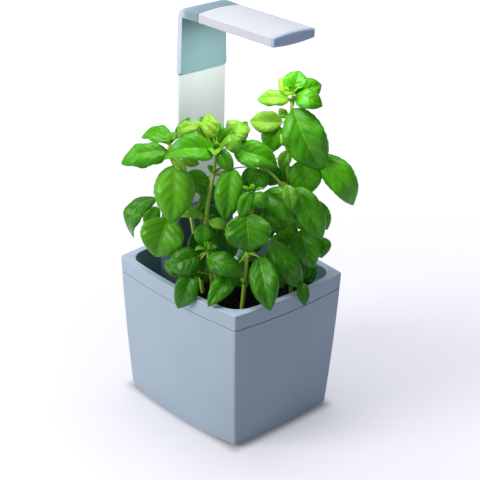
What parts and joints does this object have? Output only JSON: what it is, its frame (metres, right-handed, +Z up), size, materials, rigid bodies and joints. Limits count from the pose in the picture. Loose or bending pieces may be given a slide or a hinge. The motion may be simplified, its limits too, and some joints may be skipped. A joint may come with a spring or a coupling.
{
  "type": "indoor herb planter",
  "caption": "Bow-sided herb planter with an inner water tank, lift-out grow pot, basil plants and a telescopic lamp mast with a flat cantilever grow light.",
  "frame": {"origin": "centre of the underside, on the surface that the planter stands on", "axes": "+Z up along the mast, -Y the front face under the lamp's free end, +Y the side of the mast, +X to the right of the front"},
  "size_m": [0.1763, 0.1898, 0.401],
  "materials": {
    "shell_plastic": "fine satin moulded, pale blue grey",
    "tank_plastic": "moulded, dark slate",
    "column_plastic": "moulded, slate blue",
    "guide_plastic": "natural moulded",
    "mast_metal": "powder coated, satin, blue grey",
    "pale_metal": "powder coated, satin, off white",
    "tongue_steel": "ground",
    "screw_steel": "zinc plated",
    "contact_brass": "plain",
    "lamp_plastic": "fine satin moulded, white",
    "cap_plastic": "fine satin moulded, blue grey",
    "diffuser_plastic": "opal, satin",
    "lamp_aluminium": "rolled",
    "led_phosphor": "clear over phosphor",
    "button_plastic": "polished",
    "board_laminate": "solder mask",
    "component_body": "moulded, black",
    "lead_insulation": "soft, white",
    "gasket_rubber": "plain",
    "foot_rubber": "plain",
    "pot_plastic": "moulded, near black",
    "soil": "loose potting mix",
    "wick_fabric": "felted cotton",
    "basil_leaf": "living leaf, waxy",
    "float_plastic": "foamed",
    "marker_plastic": "polished"
  },
  "bodies": {
    "planter": {"base_plate": "shell_plastic", "rubber_foot": "foot_rubber", "base_screws": "screw_steel", "outer_shell": "shell_plastic", "rim_collar": "shell_plastic", "water_tank": "tank_plastic", "control_board": "board_laminate", "board_components": "component_body", "board_screws": "screw_steel", "dc_inlet": "component_body", "base_lead": "lead_insulation", "column_gasket": "gasket_rubber", "column_front_shell": "column_plastic", "column_rear_shell": "column_plastic", "column_screws": "screw_steel", "column_foot_screws": "screw_steel", "mast_guide": "guide_plastic", "column_plug": "component_body", "folded_lead": "lead_insulation", "float_guide": "guide_plastic"},
    "mast": {"lower_mast": "pale_metal", "lower_mast_cover": "pale_metal", "mast_tongue": "tongue_steel", "tongue_screws": "screw_steel", "contact_strips": "contact_brass", "friction_pads": "gasket_rubber", "mast_flex": "lead_insulation", "mast_shoe": "guide_plastic", "shoe_screws": "screw_steel"},
    "lamp": {"upper_mast": "mast_metal", "upper_mast_cover": "mast_metal", "contact_springs": "contact_brass", "lamp_flex": "lead_insulation", "head_shell": "lamp_plastic", "head_end_cap": "cap_plastic", "head_screws": "screw_steel", "head_diffuser": "diffuser_plastic", "led_board": "lamp_aluminium", "led_chips": "led_phosphor", "led_screws": "screw_steel", "led_lead": "lead_insulation", "heat_spreader": "lamp_aluminium", "button_switch": "component_body", "switch_board": "board_laminate"},
    "button": {"power_button": "button_plastic"},
    "grow": {"grow_pot": "pot_plastic", "potting_soil": "soil", "wicks": "wick_fabric", "basil_plants": "basil_leaf"},
    "float": {"level_float": "float_plastic", "float_marker": "marker_plastic"}
  },
  "joints": [
    {"name": "mast_slide", "type": "slide", "parent": "planter", "child": "mast", "axis": [0, 0, 1], "range_m": [-0.045, 0], "deforming": ["folded_lead"]},
    {"name": "lamp_slide", "type": "slide", "parent": "mast", "child": "lamp", "axis": [0, 0, 1], "range_m": [0, 0.04]},
    {"name": "power_button_press", "type": "slide", "parent": "lamp", "child": "button", "axis": [0, 0, 1], "range_m": [0, 0.0008], "stiffness_N_per_m": 1500, "springref_m": -0.0006},
    {"name": "grow_pot_lift", "type": "slide", "parent": "planter", "child": "grow", "axis": [0, 0, 1], "range_m": [0, 0.045]},
    {"name": "float_slide", "type": "slide", "parent": "planter", "child": "float", "axis": [0, 0, 1], "range_m": [0, 0.025]}
  ]
}
